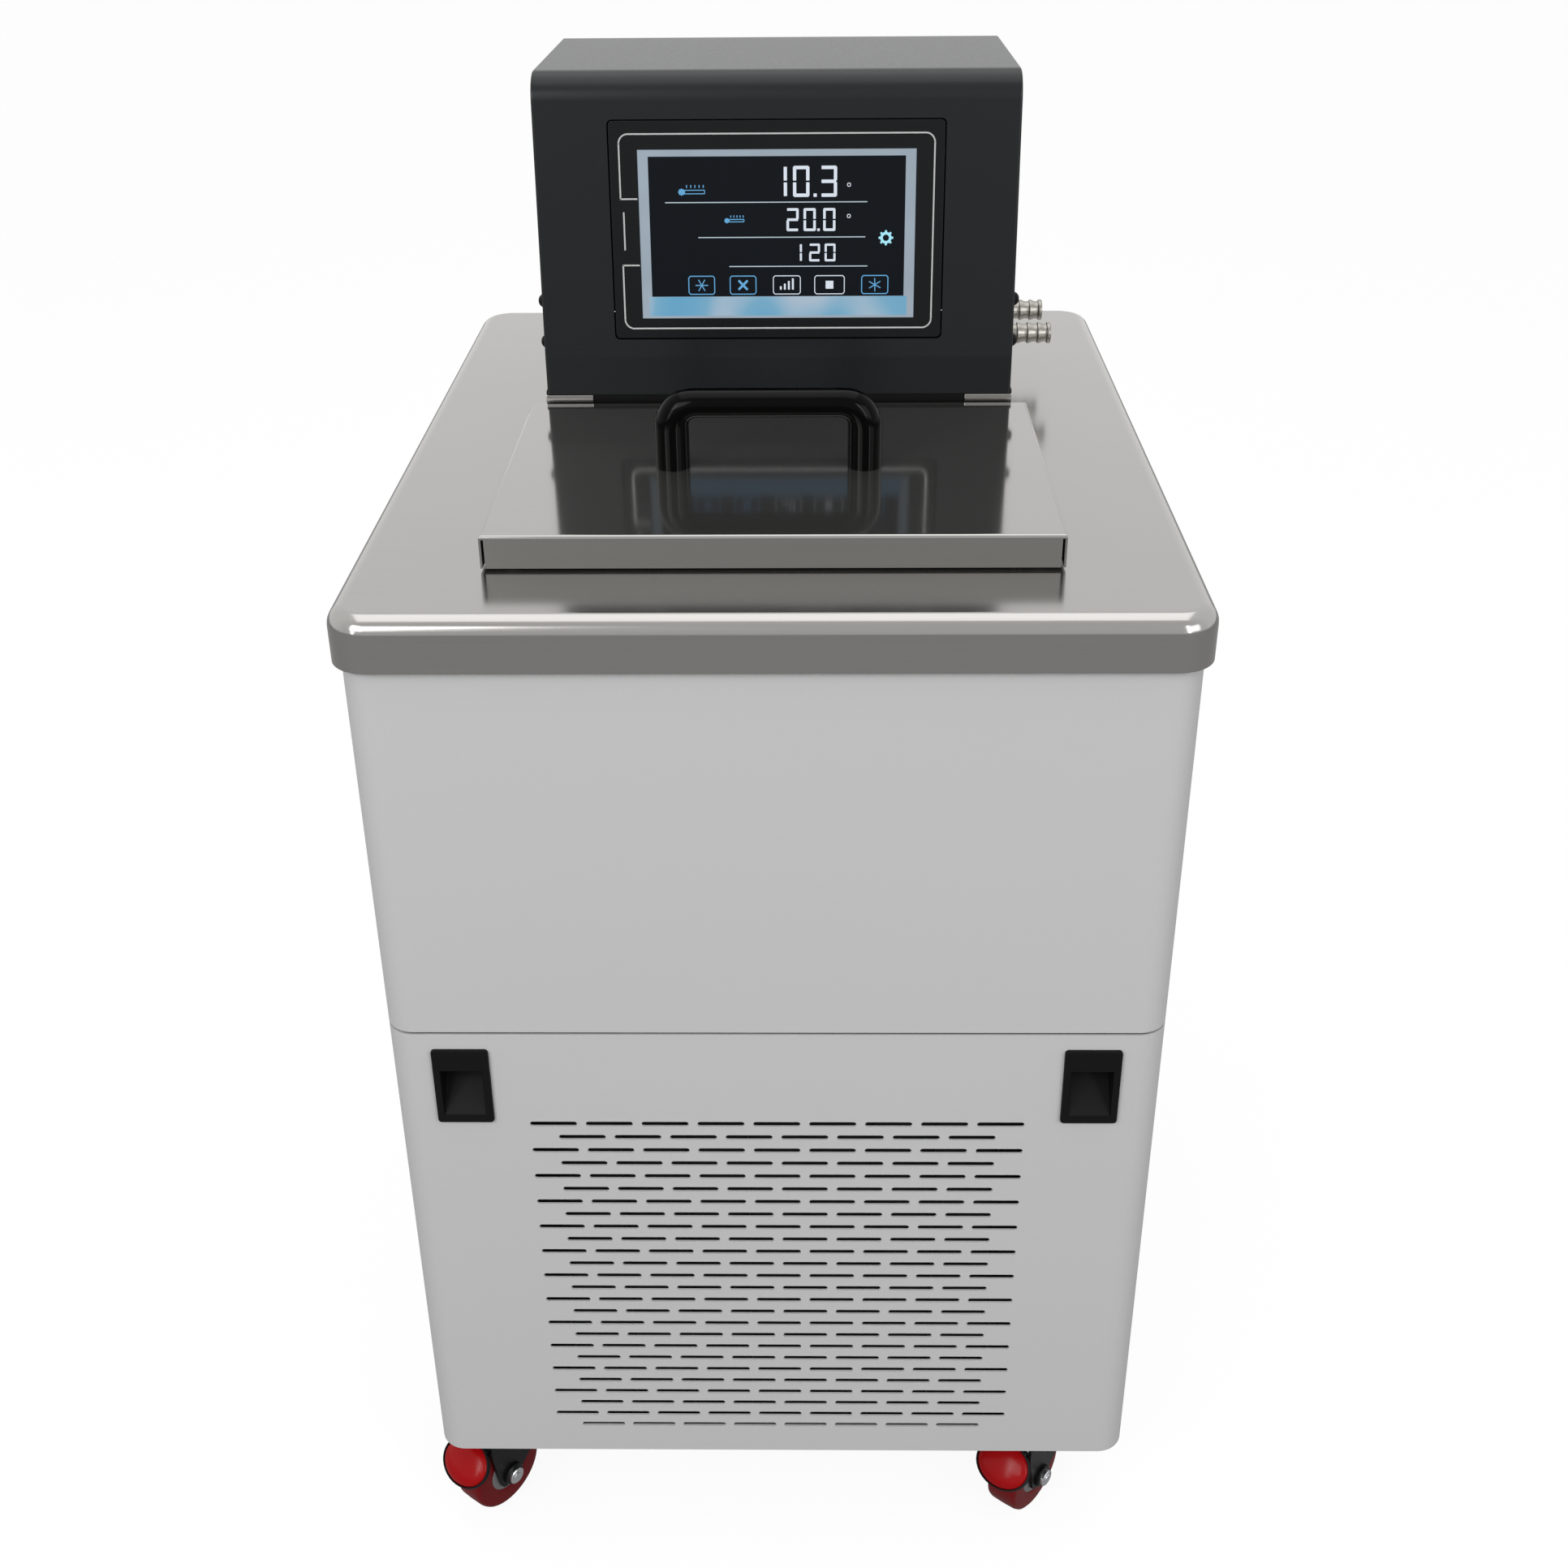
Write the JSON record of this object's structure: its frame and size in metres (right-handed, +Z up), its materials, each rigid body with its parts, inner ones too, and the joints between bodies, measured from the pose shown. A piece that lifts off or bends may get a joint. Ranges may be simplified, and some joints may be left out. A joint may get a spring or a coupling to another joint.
{
  "type": "refrigerated thermostat bath",
  "caption": "Floor-standing refrigerated circulating bath on swivel casters, with a lidded stainless tank, a slotted front panel and a leaning control head with a display.",
  "frame": {"origin": "on the floor, at the centre of the overall bounding box's base", "axes": "+Z up, front (grille, lid and display) towards -Y, +X to the right of someone facing the front"},
  "size_m": [0.409, 0.515, 0.7922],
  "materials": {
    "cabinet_paint": "satin",
    "head_paint": "satin",
    "stainless": "brushed",
    "galvanised": "satin",
    "foam": "matte",
    "gasket": "matte",
    "gloss_black": "glossy",
    "matte_black": "matte",
    "screw_steel": "satin",
    "bezel_grey": "satin",
    "display": "glossy",
    "board_green": "satin",
    "motor_grey": "satin",
    "pump_steel": "satin",
    "impeller_plastic": "satin",
    "copper": "satin",
    "condenser_metal": "satin",
    "compressor_black": "gloss",
    "box_grey": "matte",
    "valve_brass": "satin",
    "lever_red": "glossy",
    "fork_black": "satin",
    "zinc": "satin",
    "wheel_tread": "matte",
    "pedal_red": "glossy"
  },
  "bodies": {
    "cabinet": {"base_pan": "galvanised", "lower_shell": "cabinet_paint", "upper_shell": "cabinet_paint", "rear_panel": "cabinet_paint", "mid_shelf": "galvanised", "deck": "stainless", "tank": "stainless", "tank_insulation": "foam", "lid": "stainless", "lid_gasket": "gasket", "lid_handle": "gloss_black", "handle_screws": "screw_steel", "head_base": "stainless", "head_cover": "head_paint", "head_back": "head_paint", "display_bezel": "bezel_grey", "display_panel": "display", "control_board": "board_green", "cover_screws": "matte_black", "pump_motor": "motor_grey", "pump_housing": "pump_steel", "outlet_pipe": "stainless", "return_pipe": "stainless", "heater": "stainless", "evaporator_coil": "stainless", "temperature_probe": "stainless", "condenser": "condenser_metal", "fan_shroud": "galvanised", "fan_motor": "motor_grey", "compressor": "compressor_black", "compressor_mounts": "gasket", "refrigerant_pipes": "copper", "control_box": "box_grey", "drain_recess": "matte_black", "drain_valve": "valve_brass", "power_entry": "matte_black", "panel_screws": "screw_steel", "caster_plates": "zinc", "left_grip": "matte_black", "right_grip": "matte_black"},
    "pump_rotor": {"pump_shaft": "stainless", "impeller": "impeller_plastic"},
    "condenser_fan": {"fan_blades": "matte_black"},
    "drain_lever_body": {"drain_lever": "lever_red"},
    "rocker": {"power_rocker": "gloss_black"},
    "swivel_front_left": {"fork_front_left": "fork_black", "axle_front_left": "zinc"},
    "roller_front_left": {"wheel_front_left": "wheel_tread"},
    "brake_front_left": {"pedal_front_left": "pedal_red"},
    "swivel_front_right": {"fork_front_right": "fork_black", "axle_front_right": "zinc"},
    "roller_front_right": {"wheel_front_right": "wheel_tread"},
    "brake_front_right": {"pedal_front_right": "pedal_red"},
    "swivel_rear_left": {"fork_rear_left": "fork_black", "axle_rear_left": "zinc"},
    "roller_rear_left": {"wheel_rear_left": "wheel_tread"},
    "swivel_rear_right": {"fork_rear_right": "fork_black", "axle_rear_right": "zinc"},
    "roller_rear_right": {"wheel_rear_right": "wheel_tread"}
  },
  "joints": [
    {"name": "pump_spin", "type": "hinge", "parent": "cabinet", "child": "pump_rotor", "pos_m": [0, 0.085, 0.55], "axis": [0, 0, 1], "continuous": true},
    {"name": "fan_spin", "type": "hinge", "parent": "cabinet", "child": "condenser_fan", "pos_m": [0, -0.2, 0.1885], "axis": [0, 1, 0], "continuous": true},
    {"name": "drain_turn", "type": "hinge", "parent": "cabinet", "child": "drain_lever_body", "pos_m": [-0.09, 0.244, 0.302], "axis": [0, 1, 0], "range_deg": [0, 90]},
    {"name": "power_rock", "type": "hinge", "parent": "cabinet", "child": "rocker", "pos_m": [-0.1445, 0.2535, 0.125], "axis": [1, 0, 0], "range_deg": [0, 16.5]},
    {"name": "swivel_front_left_turn", "type": "hinge", "parent": "cabinet", "child": "swivel_front_left", "pos_m": [-0.16, -0.208, 0.059], "axis": [0, 0, 1], "continuous": true},
    {"name": "wheel_front_left_roll", "type": "hinge", "parent": "swivel_front_left", "child": "roller_front_left", "pos_m": [-0.17355, -0.22534, 0.0254], "axis": [0.788, -0.6157, 0], "continuous": true},
    {"name": "brake_front_left_press", "type": "hinge", "parent": "swivel_front_left", "child": "brake_front_left", "pos_m": [-0.18032, -0.234, 0.053], "axis": [0.788, -0.6157, 0], "range_deg": [0, 9]},
    {"name": "swivel_front_right_turn", "type": "hinge", "parent": "cabinet", "child": "swivel_front_right", "pos_m": [0.16, -0.208, 0.059], "axis": [0, 0, 1], "continuous": true},
    {"name": "wheel_front_right_roll", "type": "hinge", "parent": "swivel_front_right", "child": "roller_front_right", "pos_m": [0.14646, -0.22534, 0.0254], "axis": [0.788, -0.6157, 0], "continuous": true},
    {"name": "brake_front_right_press", "type": "hinge", "parent": "swivel_front_right", "child": "brake_front_right", "pos_m": [0.13968, -0.234, 0.053], "axis": [0.788, -0.6157, 0], "range_deg": [0, 9]},
    {"name": "swivel_rear_left_turn", "type": "hinge", "parent": "cabinet", "child": "swivel_rear_left", "pos_m": [-0.16, 0.208, 0.059], "axis": [0, 0, 1], "continuous": true},
    {"name": "wheel_rear_left_roll", "type": "hinge", "parent": "swivel_rear_left", "child": "roller_rear_left", "pos_m": [-0.17355, 0.19066, 0.0254], "axis": [0.788, -0.6157, 0], "continuous": true},
    {"name": "swivel_rear_right_turn", "type": "hinge", "parent": "cabinet", "child": "swivel_rear_right", "pos_m": [0.16, 0.208, 0.059], "axis": [0, 0, 1], "continuous": true},
    {"name": "wheel_rear_right_roll", "type": "hinge", "parent": "swivel_rear_right", "child": "roller_rear_right", "pos_m": [0.14646, 0.19066, 0.0254], "axis": [0.788, -0.6157, 0], "continuous": true}
  ]
}
